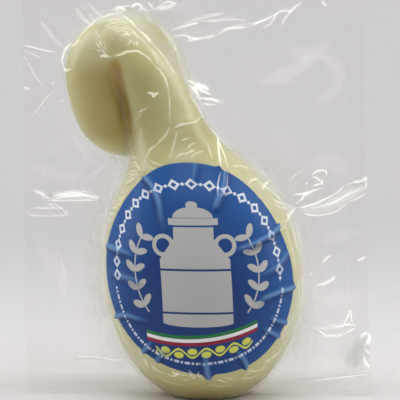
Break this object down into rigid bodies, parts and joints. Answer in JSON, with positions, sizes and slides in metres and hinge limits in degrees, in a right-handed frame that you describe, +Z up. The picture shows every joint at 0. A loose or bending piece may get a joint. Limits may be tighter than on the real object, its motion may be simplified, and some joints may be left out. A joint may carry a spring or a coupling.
{
  "type": "caciocavallo cheese",
  "caption": "Pear-shaped stretched-curd cheese, its neck curled round into a head, sealed in a clear clinging vacuum bag with flat side margins and a round label",
  "frame": {"origin": "on the floor, under the middle of the whole bag's box", "axes": "+Z up from the flat spot it stands on; the label faces -Y; the head leans towards -X; the bag's flat margins lie in the XZ plane"},
  "size_m": [0.152, 0.0834, 0.212],
  "materials": {
    "cheese": "satin, slightly waxy",
    "film": "clear glossy film with fine creases",
    "label": "printed satin film"
  },
  "bodies": {
    "root": {"sealed_bag": "cheese", "label": "label"}
  },
  "joints": []
}
